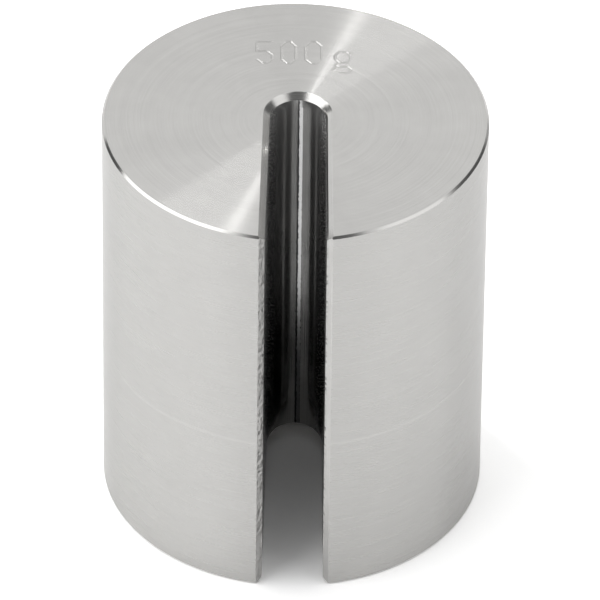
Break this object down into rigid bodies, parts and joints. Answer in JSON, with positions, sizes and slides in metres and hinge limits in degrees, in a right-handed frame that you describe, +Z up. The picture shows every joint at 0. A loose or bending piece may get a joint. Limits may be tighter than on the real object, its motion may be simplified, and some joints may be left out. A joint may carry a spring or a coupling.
{
  "type": "slotted calibration weight",
  "caption": "Cylindrical steel calibration weight with a round-ended slot from its middle out through the side, to slide onto a hanger rod.",
  "frame": {"origin": "on the cylinder's axis, in the bottom face that it stands on", "axes": "+Z up along the cylinder's axis; the slot opens towards -Y, and the two slot walls face +X and -X"},
  "size_m": [0.0426, 0.0424, 0.0495],
  "materials": {
    "steel": "fine-turned stainless steel, satin, uncoated"
  },
  "bodies": {
    "root": {"weight": "steel"}
  },
  "joints": []
}
